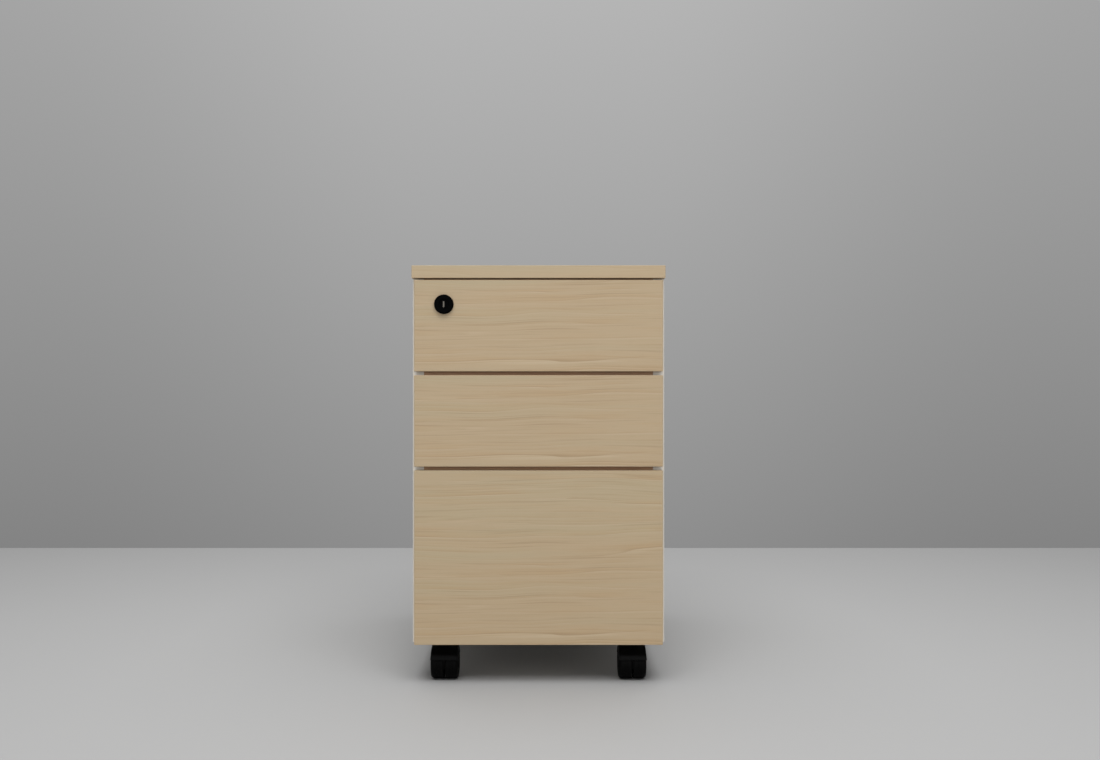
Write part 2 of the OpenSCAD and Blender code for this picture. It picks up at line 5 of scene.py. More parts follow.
import bmesh
import bpy
from mathutils import Matrix, Vector


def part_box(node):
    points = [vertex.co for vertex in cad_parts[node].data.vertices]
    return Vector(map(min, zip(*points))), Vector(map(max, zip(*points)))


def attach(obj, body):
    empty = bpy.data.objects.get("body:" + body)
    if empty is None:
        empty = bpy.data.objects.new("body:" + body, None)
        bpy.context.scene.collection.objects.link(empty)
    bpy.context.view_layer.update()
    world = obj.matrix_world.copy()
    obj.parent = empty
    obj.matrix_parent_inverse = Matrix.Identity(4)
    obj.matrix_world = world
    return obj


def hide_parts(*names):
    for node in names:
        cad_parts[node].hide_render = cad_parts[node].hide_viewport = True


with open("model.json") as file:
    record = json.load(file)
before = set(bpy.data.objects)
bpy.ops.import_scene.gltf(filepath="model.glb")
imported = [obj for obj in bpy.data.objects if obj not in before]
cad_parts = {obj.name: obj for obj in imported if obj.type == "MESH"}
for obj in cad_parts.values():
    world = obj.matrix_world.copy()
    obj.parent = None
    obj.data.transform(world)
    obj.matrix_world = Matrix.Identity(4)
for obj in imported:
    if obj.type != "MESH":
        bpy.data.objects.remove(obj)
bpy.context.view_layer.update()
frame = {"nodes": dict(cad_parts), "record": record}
MM = 0.001
RECORD = {part["node"]: part for part in frame["record"]["subparts"]}
BODY = {node: body for body, nodes in frame["record"]["behaviour"]["bodies"].items() for node in nodes}

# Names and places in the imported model
DRAWERS = ("top", "middle", "bottom")
FRONTS = tuple(f"{drawer}_front" for drawer in DRAWERS)
CASTERS = ("front_left", "front_right", "rear_left", "rear_right")
FRONT_LOW, FRONT_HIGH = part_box("top_front")
FRONT_Y = FRONT_LOW.y
FRONT_T = FRONT_HIGH.y - FRONT_LOW.y
LOCK_LOW, LOCK_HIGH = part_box("lock_housing")
LOCK_CENTRE = (LOCK_LOW + LOCK_HIGH) / 2
ROSETTE_R = (LOCK_HIGH.z - LOCK_LOW.z) / 2


# ---- Node materials ----

class Nodes:
    """Short calls for the nodes of one node tree."""

    def __init__(self, tree):
        self.nodes = tree.nodes
        self.links = tree.links

    def feed(self, value, socket):
        """Links a node's output to a socket, or sets the socket to a number, vector or colour."""
        if isinstance(value, bpy.types.NodeSocket):
            self.links.new(value, socket)
        else:
            socket.default_value = value

    def coords(self, kind="Object"):
        return self.nodes.new("ShaderNodeTexCoord").outputs[kind]

    def split(self, vector):
        """The X, Y and Z of a vector."""
        node = self.nodes.new("ShaderNodeSeparateXYZ")
        self.links.new(vector, node.inputs[0])
        return node.outputs

    def mapped(self, where, scale=(1, 1, 1), shift=(0, 0, 0)):
        mapping = self.nodes.new("ShaderNodeMapping")
        self.links.new(where, mapping.inputs["Vector"])
        mapping.inputs["Location"].default_value = shift
        mapping.inputs["Scale"].default_value = scale
        return mapping.outputs["Vector"]

    def noise(self, where, scale=1.0, detail=3.0, rough=0.5):
        node = self.nodes.new("ShaderNodeTexNoise")
        self.feed(where, node.inputs["Vector"])
        node.inputs["Scale"].default_value = scale
        node.inputs["Detail"].default_value = detail
        node.inputs["Roughness"].default_value = rough
        return node.outputs["Fac"]

    def math(self, kind, a, b=0.0, c=0.0):
        node = self.nodes.new("ShaderNodeMath")
        node.operation = kind
        for value, socket in zip((a, b, c), node.inputs):
            self.feed(value, socket)
        return node.outputs[0]

    def ramp(self, value, low, high, to_low=0.0, to_high=1.0, kind="SMOOTHSTEP"):
        node = self.nodes.new("ShaderNodeMapRange")
        node.interpolation_type = kind
        for item, socket in zip((value, low, high, to_low, to_high), node.inputs):
            self.feed(item, socket)
        return node.outputs[0]

    def mix(self, factor, a, b):
        node = self.nodes.new("ShaderNodeMix")
        node.data_type = "RGBA"
        self.feed(factor, node.inputs[0])
        for value, socket in zip((a, b), node.inputs[6:8]):
            self.feed((*value, 1.0) if isinstance(value, tuple) else value, socket)
        return node.outputs[2]


class Shader(Nodes):
    """A Principled material. The numbers in sockets are set on the shader itself."""

    def __init__(self, name, **sockets):
        self.material = bpy.data.materials.new(name)
        self.material.use_nodes = True
        super().__init__(self.material.node_tree)
        self.bsdf = self.nodes["Principled BSDF"]
        for socket, value in sockets.items():
            self.bsdf.inputs[socket.replace("_", " ")].default_value = value

    def to(self, value, socket):
        self.feed(value, self.bsdf.inputs[socket])

    def bump(self, height, strength, depth=0.2 * MM):
        node = self.nodes.new("ShaderNodeBump")
        self.feed(height, node.inputs["Height"])
        node.inputs["Strength"].default_value = strength
        node.inputs["Distance"].default_value = depth
        self.links.new(node.outputs["Normal"], self.bsdf.inputs["Normal"])


WAVE_HEIGHT = 34 * MM
RINGS_PER_METRE = 46
FINE_RINGS_PER_METRE = 150


def oak(name, low_z=0.0, grain=1.0, tint=(1.0, 1.0, 1.0)):
    """Pale oak print. The grain runs along X, and the print starts at the height low_z."""
    s = Shader(name, Roughness=0.5, Specular_IOR_Level=0.3)
    place = s.mapped(s.coords(), shift=(0, 0, -low_z))
    wave = s.noise(s.mapped(place, (2.4, 6.0, 6.0), (3.1, 0, 0)), detail=2.0)
    bend = s.nodes.new("ShaderNodeVectorMath")
    bend.operation = "MULTIPLY_ADD"
    s.links.new(wave, bend.inputs[0])
    bend.inputs[1].default_value = (0, 0, WAVE_HEIGHT)
    s.links.new(place, bend.inputs[2])
    wavy = bend.outputs[0]
    _, y, z = s.split(wavy)
    across = s.math("ADD", y, z)

    def layer(along, wide, detail, low, high, shift=0.0):
        """Stretched noise, along and wide times a metre, that goes from 0 to 1 between low and high."""
        where = s.mapped(wavy, (along, wide, wide), (0.37, shift * wide, shift * wide))
        return s.ramp(s.noise(where, detail=detail, rough=0.55), low, high)

    def tone(red, green, blue):
        return tuple(value * share for value, share in zip((red, green, blue), tint))

    def rings(colour, per_metre, line, strength, shift):
        """Growth rings: a dark line that fades upwards through a warm band, over a thin cream line."""
        wide = 0.6 * per_metre
        field = s.noise(s.mapped(wavy, (1.6, wide, wide), (shift, 0, shift)), detail=2.0)
        saw = s.math("FRACT", s.math("MULTIPLY_ADD", across, per_metre, s.math("MULTIPLY", field, 3.0)))
        gate = layer(4.2, 0.9 * per_metre, 2.0, 0.40, 0.62, shift)
        warm_band = (0.75, 0.0, 0.55, tone(0.490, 0.335, 0.185))
        cream_line = (0.80, 0.97, 0.50, tone(0.600, 0.490, 0.335))
        dark_line = (line, 0.0, 0.48, tone(0.330, 0.232, 0.132))
        for low, high, share, mark in (warm_band, cream_line, dark_line):
            amount = s.math("MULTIPLY", gate, s.ramp(saw, low, high))
            colour = s.mix(s.math("MULTIPLY", amount, share * strength), colour, mark)
        return colour

    broad = layer(along=1.3, wide=34, detail=2.0, low=0.36, high=0.64)
    streaks = layer(along=3.4, wide=170, detail=4.0, low=0.52, high=0.76)
    lines = layer(along=5.0, wide=460, detail=3.0, low=0.55, high=0.76)
    fibres = layer(along=24, wide=1500, detail=2.0, low=0.30, high=0.72)
    pores = layer(along=50, wide=3000, detail=2.0, low=0.56, high=0.74)
    colour = s.mix(broad, tone(0.508, 0.388, 0.248), tone(0.490, 0.396, 0.256))
    colour = rings(colour, RINGS_PER_METRE, line=0.10, strength=grain, shift=0.0)
    colour = rings(colour, FINE_RINGS_PER_METRE, line=0.22, strength=0.55 * grain, shift=0.61)
    for amount, share, mark in ((streaks, 0.26, tone(0.400, 0.290, 0.165)),
                                (lines, 0.45, tone(0.320, 0.225, 0.130)),
                                (fibres, 0.12, tone(0.380, 0.290, 0.180)),
                                (pores, 0.22, tone(0.330, 0.240, 0.145))):
        colour = s.mix(s.math("MULTIPLY", amount, share * grain), colour, mark)
    s.to(colour, "Base Color")
    s.to(s.ramp(s.math("ADD", lines, pores), 0.0, 1.6, 0.45, 0.62), "Roughness")
    s.bump(s.math("MULTIPLY_ADD", pores, -1.0, fibres), 0.10)
    return s.material


def surface(name, colour, dark, rough, bump=0.05, scale=900.0, spec=0.5, metal=0.0, stretch=(1, 1, 1)):
    """A moulded, coated or metal surface: a slight mottle, a fine texture and uneven gloss."""
    s = Shader(name, Specular_IOR_Level=spec, Metallic=metal)
    coarse = s.noise(s.coords(), scale=22.0, detail=4.0)
    fine = s.noise(s.mapped(s.coords(), stretch), scale=scale, detail=3.0)
    mottle = s.math("MULTIPLY", s.ramp(coarse, 0.3, 0.7), 0.65)
    blend = s.math("MULTIPLY_ADD", s.ramp(fine, 0.3, 0.7), 0.35, mottle)
    s.to(s.mix(blend, colour, dark), "Base Color")
    s.to(s.ramp(s.math("ADD", coarse, fine), 0.6, 1.4, rough * 0.8, rough * 1.2), "Roughness")
    s.bump(fine, bump)
    return s.material


BRUSHED_ALONG_Y = (1, 0.03, 1)
BRUSHED_ALONG_Z = (1, 1, 0.03)
GRAIN_ALONG_X = (0.06, 1, 1)

OAK = oak("oak_board")
OAK_OF = {name: oak(f"oak_{name}", low_z=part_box(name)[0].z) for name in FRONTS}
OAK_BAND = oak("oak_edge_band", grain=0.35, tint=(1.02, 1.02, 1.02))
# The rails' oak is tinted darker and redder than the fronts' oak. This is painted shade and painted
# wood-coloured bounce light for the gaps between the fronts.
OAK_RAIL_PAINTED_GAP_SHADE = oak("oak_rail_painted_gap_shade", grain=0.8, tint=(0.95, 0.70, 0.58))
WHITE = surface("white_melamine", (0.785, 0.742, 0.672), (0.770, 0.727, 0.657),
                rough=0.42, bump=0.08, scale=700.0, spec=0.4)
BOX_BOARD = surface("drawer_board", (0.76, 0.73, 0.68), (0.735, 0.705, 0.655),
                    rough=0.5, bump=0.08, scale=600.0, spec=0.35)
STEEL = surface("zinc_plated_steel", (0.66, 0.67, 0.69), (0.54, 0.55, 0.565),
                rough=0.34, bump=0.06, scale=800.0, metal=1.0, stretch=BRUSHED_ALONG_Y)
SCREW_STEEL = surface("screw_steel", (0.60, 0.60, 0.61), (0.46, 0.46, 0.47),
                      rough=0.32, bump=0.06, scale=1600.0, metal=1.0)
ZINC = surface("die_cast_zinc", (0.52, 0.52, 0.53), (0.40, 0.40, 0.41),
               rough=0.42, bump=0.15, scale=1200.0, metal=1.0)
ALUMINIUM = surface("mill_aluminium", (0.74, 0.75, 0.76), (0.64, 0.65, 0.66),
                    rough=0.36, bump=0.06, metal=1.0, stretch=BRUSHED_ALONG_Z)
SHUTTER = surface("key_shutter", (0.15, 0.134, 0.113), (0.105, 0.094, 0.079),
                  rough=0.4, scale=1500.0, spec=0.4, metal=0.5)
BEECH = surface("beech", (0.60, 0.43, 0.26), (0.47, 0.32, 0.18),
                rough=0.6, bump=0.25, scale=700.0, spec=0.3, stretch=GRAIN_ALONG_X)
RUBBER = surface("clear_rubber", (0.56, 0.57, 0.56), (0.48, 0.49, 0.48),
                 rough=0.32, bump=0.03, scale=500.0)
GUIDE = surface("guide_plastic", (0.34, 0.34, 0.35), (0.29, 0.29, 0.30), rough=0.45, bump=0.1)
BLACK = surface("black_lock", (0.0012, 0.0012, 0.0014), (0.0008, 0.0008, 0.0009),
                rough=0.42, bump=0.08, scale=1600.0, spec=0.02)
NYLON = surface("black_nylon", (0.0014, 0.0014, 0.0014), (0.0008, 0.0008, 0.0008),
                rough=0.42, bump=0.15, scale=1400.0, spec=0.06)
TYRE = surface("black_tyre", (0.0018, 0.0018, 0.0018), (0.0010, 0.0010, 0.0010),
               rough=0.55, bump=0.25, scale=1100.0, spec=0.05)

SLOT_LOOKS = {
    "oak_laminate": OAK, "white_laminate": WHITE, "drawer_board": BOX_BOARD, "zinc": ZINC,
    "zinc_plated_steel": STEEL, "bearing_steel": STEEL, "beech": BEECH, "clear_rubber": RUBBER,
    "aluminium_bar": ALUMINIUM, "guide_plastic": GUIDE, "black_lock": BLACK, "black_nylon": NYLON,
}

# ---- Mesh tools ----

WELD = 0.01 * MM
ON_AXIS = 1e-7


def shade_by_area(obj):
    """Large faces set the normals at a rounded edge, so flat faces stay flat."""
    normals = obj.modifiers.new("normals", "WEIGHTED_NORMAL")
    normals.weight = 100
    normals.keep_sharp = True


def finish_mesh(name, bm, *materials, sharp=50):
    """Turns a bmesh into an object with smooth faces that break at edges sharper than sharp degrees."""
    bmesh.ops.recalc_face_normals(bm, faces=bm.faces)
    for face in bm.faces:
        face.smooth = True
    for edge in bm.edges:
        edge.smooth = len(edge.link_faces) == 2 and edge.calc_face_angle(0) < math.radians(sharp)
    mesh = bpy.data.meshes.new(name)
    bm.to_mesh(mesh)
    bm.free()
    obj = bpy.data.objects.new(name, mesh)
    bpy.context.scene.collection.objects.link(obj)
    for material in materials:
        mesh.materials.append(material)
    shade_by_area(obj)
    return obj


def place_piece(piece, body, slot, *nodes):
    """The piece rides the body and replaces the nodes. The slot is not used."""
    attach(piece, body)
    if nodes:
        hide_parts(*nodes)


def stand_for(piece, node):
    """The piece takes the node's place and body."""
    place_piece(piece, BODY[node], RECORD[node]["material_slot"], node)


def node_mesh(node):
    """A CAD node's mesh with its corners joined."""
    bm = bmesh.new()
    bm.from_mesh(frame["nodes"][node].data)
    bmesh.ops.remove_doubles(bm, verts=bm.verts, dist=WELD)
    return bm


def islands(node):
    """The low and high corners of each separate solid in a node, in order of place."""
    bm = node_mesh(node)
    boxes, seen = [], set()
    for start in bm.verts:
        if start in seen:
            continue
        seen.add(start)
        stack, points = [start], []
        while stack:
            vert = stack.pop()
            points.append(vert.co.copy())
            for edge in vert.link_edges:
                other = edge.other_vert(vert)
                if other not in seen:
                    seen.add(other)
                    stack.append(other)
        low = Vector(min(p[i] for p in points) for i in range(3))
        high = Vector(max(p[i] for p in points) for i in range(3))
        boxes.append((low, high))
    bm.free()
    return sorted(boxes, key=lambda box: tuple(round(v, 5) for v in box[0]))


def refine(node, material, width, shortest, angle=30, segments=2):
    """A copy of a CAD node. Edges longer than shortest and sharper than angle are rounded."""
    bm = node_mesh(node)
    bmesh.ops.dissolve_limit(bm, angle_limit=math.radians(0.5), verts=bm.verts, edges=bm.edges)
    edges = [e for e in bm.edges if len(e.link_faces) == 2 and e.calc_length() > shortest
             and e.calc_face_angle(0) > math.radians(angle)]
    bmesh.ops.bevel(bm, geom=edges, offset=width, segments=segments, profile=0.5, affect="EDGES",
                    clamp_overlap=False)
    stand_for(finish_mesh(f"{node}_detail", bm, material), node)


def arc(centre, radius, start, end, steps):
    """Points on an arc, from one angle in degrees to another."""
    angles = [math.radians(start + (end - start) * i / steps) for i in range(steps + 1)]
    return [(centre[0] + radius * math.cos(a), centre[1] + radius * math.sin(a)) for a in angles]


def turned(place, degrees, axis):
    """A matrix that turns about an axis, then moves to a place."""
    return Matrix.Translation(place) @ Matrix.Rotation(math.radians(degrees), 4, axis)


def aimed(place, aim):
    """A matrix that points +Z along aim, then moves to a place."""
    return Matrix.Translation(place) @ aim.to_track_quat("Z", "Y").to_matrix().to_4x4()


def lathe(bm, profile, turn, steps=72, closed=False):
    """Turns (radius, height) points about Z, then moves the result with the matrix turn."""
    angles = [2 * math.pi * i / steps for i in range(steps)]
    rings = []
    for radius, height in profile:
        if radius < ON_AXIS:
            points = [Vector((0, 0, height))]
        else:
            points = [Vector((radius * math.cos(a), radius * math.sin(a), height)) for a in angles]
        rings.append([bm.verts.new(turn @ point) for point in points])
    pairs = list(zip(rings, rings[1:])) + ([(rings[-1], rings[0])] if closed else [])
    for a, b in pairs:
        for i in range(steps):
            j = (i + 1) % steps
            corners = [a[i % len(a)], a[j % len(a)], b[j % len(b)], b[i % len(b)]]
            unique = list(dict.fromkeys(corners))
            if len(unique) > 2:
                bm.faces.new(unique)


def loft(bm, rings):
    """Joins rings of corners into a solid with a flat face at each end. Gives the faces in between."""
    between = []
    for a, b in zip(rings, rings[1:]):
        for i in range(len(a)):
            j = (i + 1) % len(a)
            between.append(bm.faces.new((a[i], a[j], b[j], b[i])))
    bm.faces.new(rings[0])
    bm.faces.new(rings[-1])
    return between


def cut_away(body, cutter):
    """The body's mesh without what the cutter overlaps. The cutter is used up."""
    body.modifiers.clear()
    cutter.modifiers.clear()
    cut = body.modifiers.new("cut", "BOOLEAN")
    cut.object = cutter
    cut.solver = "EXACT"
    bpy.context.view_layer.update()
    mesh = bpy.data.meshes.new_from_object(body.evaluated_get(bpy.context.evaluated_depsgraph_get()))
    body.modifiers.clear()
    bpy.data.objects.remove(cutter)
    return mesh


def rounded_ring(half_w, half_h, radius, steps=4):
    """A rectangle with rounded corners, as points about the origin."""
    points = []
    for corner, (sx, sy) in enumerate(((1, 1), (-1, 1), (-1, -1), (1, -1))):
        centre = (sx * (half_w - radius), sy * (half_h - radius))
        points += arc(centre, radius, corner * 90, corner * 90 + 90, steps)
    return points


BAND = 1.0 * MM
SEAM = 0.15 * MM
EDGE_ROUND = 0.9 * MM
EDGE_STEPS = 4
LEAST_ROUND = 0.02 * MM
CUTTER_REACH = 50 * MM


def banded_board(name, low, high, thin, face_material, band_material, hole=None):
    """A laminated board with a round-edged band on its four edges. thin is its thickness's axis."""
    across, up = (axis for axis in range(3) if axis != thin)
    middle = (low + high) / 2
    half = (high - low) / 2
    face = half[thin]
    side = [(BAND + SEAM, face), (BAND, face - SEAM), (BAND - SEAM, face)]
    for i in range(1, EDGE_STEPS + 1):
        turn = math.radians(90 * i / EDGE_STEPS)
        side.append((EDGE_ROUND * (1 - math.sin(turn)), face - EDGE_ROUND * (1 - math.cos(turn))))
    side += [(inset, -height) for inset, height in reversed(side)]
    bm = bmesh.new()
    rings = []
    for inset, height in side:
        radius = max(EDGE_ROUND - inset, LEAST_ROUND)
        verts = []
        for u, v in rounded_ring(half[across] - inset, half[up] - inset, radius):
            point = middle.copy()
            point[across] += u
            point[up] += v
            point[thin] += height
            verts.append(bm.verts.new(point))
        rings.append(verts)
    for band_face in loft(bm, rings):
        band_face.material_index = 1
    board = finish_mesh(name, bm, face_material, band_material)
    if hole:
        cut_hole(board, *hole)
    return board


def cut_hole(board, centre, radius, axis):
    """Cuts a round hole through a board."""
    bm = bmesh.new()
    profile = [(0, -CUTTER_REACH), (radius, -CUTTER_REACH), (radius, CUTTER_REACH), (0, CUTTER_REACH)]
    lathe(bm, profile, aimed(centre, axis))
    board.data = cut_away(board, finish_mesh("cutter", bm))
    shade_by_area(board)


# ---- Boards ----

BARREL_R = 9.5 * MM
BARREL_PLAY = 0.05 * MM
LONG_EDGE = 9 * MM


def make_carcass():
    stand_for(banded_board("top_board", *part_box("top_panel"), 2, OAK, OAK_BAND), "top_panel")
    for node in ("left_side_panel", "right_side_panel", "bottom_panel", "back_panel"):
        refine(node, WHITE, width=0.8 * MM, shortest=LONG_EDGE)
    # The rails take the oak with painted gap shade and bounce light.
    for node in ("top_rail", "upper_divider_rail", "lower_divider_rail"):
        refine(node, OAK_RAIL_PAINTED_GAP_SHADE, width=0.5 * MM, shortest=LONG_EDGE)


def make_fronts():
    lock_hole = (LOCK_CENTRE, BARREL_R + BARREL_PLAY, Vector((0, 1, 0)))
    for node in FRONTS:
        hole = lock_hole if node == "top_front" else None
        stand_for(banded_board(f"{node}_board", *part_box(node), 1, OAK_OF[node], OAK_BAND, hole), node)


def make_boxes():
    for drawer in DRAWERS:
        refine(f"{drawer}_box_sides", BOX_BOARD, width=0.6 * MM, shortest=LONG_EDGE)
        refine(f"{drawer}_box_ends", BOX_BOARD, width=0.6 * MM, shortest=LONG_EDGE)
        refine(f"{drawer}_box_bottom", BOX_BOARD, width=0.4 * MM, shortest=LONG_EDGE)
        refine(f"{drawer}_catch", GUIDE, width=0.6 * MM, shortest=3 * MM)


# ---- Screws and small fittings ----

HEAD_H = 1.7 * MM
HEAD_RIM = 0.35
FIRST_TURN = 17
NEXT_TURN = 47
CAD_SCREW = {"head_r": 3.5 * MM, "head_h": HEAD_H, "shank_r": 1.7 * MM}
FRONT_SCREW = {"head_r": 4.2 * MM, "head_h": 2.0 * MM, "shank_r": 1.9 * MM, "length": 24 * MM}
RAIL_SCREW = {"head_r": 3.2 * MM, "head_h": 1.4 * MM, "shank_r": 1.5 * MM, "length": 10 * MM}
FRONT_SCREW_IN = 52 * MM
FRONT_SCREW_UP = 26 * MM
FRONT_SCREW_DOWN = 15.6 * MM
RAIL_T = 1.2 * MM
RAIL_SCREW_END = 30 * MM
RAIL_SCREW_OFF_MIDDLE = 12 * MM


def screw_template(head_r, head_h, shank_r, length):
    """A pan-head screw along Z with its head's seat at z = 0 and a cross recess in the head."""
    crown = arc((0, 0), 1.0, 20, 90, 5)
    first_x, first_y = crown[0]
    dome = [(head_r * x / first_x, head_h * (HEAD_RIM + (1 - HEAD_RIM) * (y - first_y) / (1 - first_y)))
            for x, y in crown[:-1]]
    tip = [(0, -length), (shank_r, 1.5 * shank_r - length)]
    bm = bmesh.new()
    lathe(bm, [*tip, (shank_r, 0), (head_r, 0), *dome, (0, head_h)], Matrix.Identity(4), steps=28)
    body = finish_mesh("screw", bm)
    mesh = cut_away(body, cross_cutter(head_r, head_h))
    bpy.data.objects.remove(body)
    return mesh


def cross_cutter(head_r, head_h):
    """The cross recess, which narrows towards its floor."""
    arm, half, depth = 0.52 * head_r, 0.11 * head_r, 0.75 * head_h
    outline = [(arm, half), (half, half), (half, arm), (-half, arm), (-half, half), (-arm, half),
               (-arm, -half), (-half, -half), (-half, -arm), (half, -arm), (half, -half), (arm, -half)]
    bm = bmesh.new()
    loft(bm, [[bm.verts.new((x, y, head_h + MM)) for x, y in outline],
              [bm.verts.new((0.55 * x, 0.8 * y, head_h - depth)) for x, y in outline]])
    return finish_mesh("cross", bm)


def screws(name, template, seats):
    """One mesh with a screw at each seat: a point under the head, and the way the head faces."""
    bm = bmesh.new()
    for index, (point, aim) in enumerate(seats):
        spin = Matrix.Rotation(math.radians(FIRST_TURN + NEXT_TURN * index), 4, "Z")
        turn = aimed(point, aim) @ spin
        count = len(bm.verts)
        bm.from_mesh(template)
        bm.verts.ensure_lookup_table()
        bmesh.ops.transform(bm, matrix=turn, verts=bm.verts[count:])
    return finish_mesh(name, bm, SCREW_STEEL, sharp=35)


def make_screws():
    make_cad_screws("channel_screws", "channel_screw_set", 0)
    make_cad_screws("caster_screws", "caster_screw_set", 2)
    for drawer in DRAWERS:
        make_drawer_screws(drawer)


def make_cad_screws(node, name, axis):
    """Screws in a node's place, all of one length. Heads face inwards along X, or down along Z."""
    boxes = islands(node)
    low, high = boxes[-1]
    template = screw_template(**CAD_SCREW, length=high[axis] - low[axis] - HEAD_H)
    seats = []
    for low, high in boxes:
        seat, aim = (low + high) / 2, Vector((0, 0, 0))
        forwards = axis == 0 and seat.x < 0
        seat[axis] = high[axis] - HEAD_H if forwards else low[axis] + HEAD_H
        aim[axis] = 1 if forwards else -1
        seats.append((seat, aim))
    stand_for(screws(name, template, seats), node)


def make_drawer_screws(drawer):
    """The screws that hold the front to its box, and the runners to the box sides."""
    body = BODY[f"{drawer}_front"]
    low, high = islands(f"{drawer}_box_ends")[0]
    seats = [(Vector((x, high.y, z)), Vector((0, 1, 0)))
             for x in (low.x + FRONT_SCREW_IN, high.x - FRONT_SCREW_IN)
             for z in (low.z + FRONT_SCREW_UP, high.z - FRONT_SCREW_DOWN)]
    front_screws = screws(f"{drawer}_front_screws", screw_template(**FRONT_SCREW), seats)
    place_piece(front_screws, body, "zinc_plated_steel")
    seats = []
    for rail_low, rail_high in islands(f"{drawer}_rails"):
        middle = (rail_low + rail_high) / 2
        left = middle.x < 0
        x = rail_high.x - RAIL_T if left else rail_low.x + RAIL_T
        outwards = Vector((-1 if left else 1, 0, 0))
        for y in (rail_low.y + RAIL_SCREW_END, middle.y - RAIL_SCREW_OFF_MIDDLE,
                  rail_high.y - RAIL_SCREW_END):
            seats.append((Vector((x, y, middle.z)), outwards))
    rail_screws = screws(f"{drawer}_rail_screws", screw_template(**RAIL_SCREW), seats)
    place_piece(rail_screws, body, "zinc_plated_steel")


def make_bumpers():
    """Domed rubber dots behind the fronts' upper corners."""
    bm = bmesh.new()
    for low, high in islands("front_bumpers"):
        middle = (low + high) / 2
        radius, height = (high.x - low.x) / 2, high.y - low.y
        dome = 0.8 * height
        turn = turned((middle.x, high.y, middle.z), 90, "X")
        crown = arc((radius - dome, height - dome), dome, 0, 90, 6)
        lathe(bm, [(0, 0), (radius, 0), *crown, (0, height)], turn, steps=40)
    stand_for(finish_mesh("rubber_dots", bm, RUBBER), "front_bumpers")


def make_fittings():
    for node in ("left_channels", "right_channels", "top_rails", "middle_rails", "bottom_rails"):
        refine(node, STEEL, width=0.22 * MM, shortest=LONG_EDGE)
    refine("cam_housings", ZINC, width=0.25 * MM, shortest=0.5 * MM, angle=60, segments=1)
    refine("lock_bar", ALUMINIUM, width=0.4 * MM, shortest=2.5 * MM, angle=60)
    refine("lock_bar_guides", GUIDE, width=0.5 * MM, shortest=1 * MM)
    refine("caster_plates", STEEL, width=0.35 * MM, shortest=1.5 * MM, angle=60)
    refine("caster_stems", STEEL, width=0.3 * MM, shortest=0.6 * MM, angle=60)


# ---- Lock ----

FINE_STEPS = 96
PLUG_BORE_R = 6.55 * MM
LIP_W = 1.2 * MM
LIP_CHAMFER = 0.6 * MM
LIP_SUNK = 0.35 * MM
BORE_CHAMFER = 0.3 * MM
ROSETTE_ROUND = 2.6 * MM
BARREL_CHAMFER = 0.5 * MM
THREAD_PITCH = 1.0 * MM
THREAD_DEPTH = 0.45 * MM
SHUTTER_HALF = (1.3 * MM, 5.0 * MM)
SHUTTER_SUNK = 0.35 * MM
SHUTTER_DEEP = 2.5 * MM
SHUTTER_ROUND = 0.35 * MM


def make_lock():
    """The rosette is turned about the lock's axis, with +Z of the profile pointing out of the front."""
    turn = turned((LOCK_CENTRE.x, FRONT_Y, LOCK_CENTRE.z), 90, "X")
    out = FRONT_Y - LOCK_LOW.y
    height = BARREL_CHAMFER - (LOCK_HIGH.y - FRONT_Y)
    rear = height - BARREL_CHAMFER
    root_r = BARREL_R - THREAD_DEPTH
    profile = [(PLUG_BORE_R, rear), (BARREL_R - BARREL_CHAMFER, rear), (BARREL_R, height)]
    while height < -FRONT_T - THREAD_PITCH:
        profile += [(root_r, height + THREAD_PITCH / 2), (BARREL_R, height + THREAD_PITCH)]
        height += THREAD_PITCH
    profile += [(BARREL_R, 0), (ROSETTE_R, 0)]
    profile += arc((ROSETTE_R - ROSETTE_ROUND, out - ROSETTE_ROUND), ROSETTE_ROUND, 0, 90, 8)
    lip_r = PLUG_BORE_R + LIP_W
    seat = out - LIP_SUNK
    profile += [(lip_r + LIP_CHAMFER, out), (lip_r, seat),
                (PLUG_BORE_R + BORE_CHAMFER, seat), (PLUG_BORE_R, seat - BORE_CHAMFER)]
    bm = bmesh.new()
    lathe(bm, profile, turn, FINE_STEPS, closed=True)
    stand_for(finish_mesh("lock_rosette", bm, BLACK), "lock_housing")
    refine("lock_nut", ZINC, width=0.35 * MM, shortest=2 * MM)
    refine("lock_plug", BLACK, width=0.18 * MM, shortest=0.3 * MM, angle=60)
    make_shutter(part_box("lock_plug")[0].y)


def make_shutter(face_y):
    """The sprung metal plate that closes the key slot, just inside the plug's face."""
    half_w, half_h = SHUTTER_HALF
    bm = bmesh.new()
    rings = []
    for inset, deep in ((SHUTTER_ROUND, SHUTTER_SUNK), (0.1 * MM, SHUTTER_SUNK + 0.1 * MM),
                        (0, SHUTTER_SUNK + SHUTTER_ROUND), (0, SHUTTER_DEEP)):
        ring = rounded_ring(half_w - inset, half_h - inset, half_w - inset - LEAST_ROUND, 6)
        y = face_y + deep
        rings.append([bm.verts.new((LOCK_CENTRE.x + u, y, LOCK_CENTRE.z + v)) for u, v in ring])
    loft(bm, rings)
    place_piece(finish_mesh("key_shutter", bm, SHUTTER), "lock_plug", "zinc")


# ---- Casters ----

WHEEL_BORE_R = 3.05 * MM
BORE_END = 16.8 * MM
HUB_R = 8 * MM
HUB_START = 8.2 * MM
WEB_T = 6 * MM
RIM_T = 4.5 * MM
INNER_ROUND = 1.2 * MM
TREAD_ROUND = 5.5 * MM
GROOVE_W = 0.5 * MM
GROOVE_DEPTH = 0.35 * MM
DISH_DEPTH = 0.9 * MM


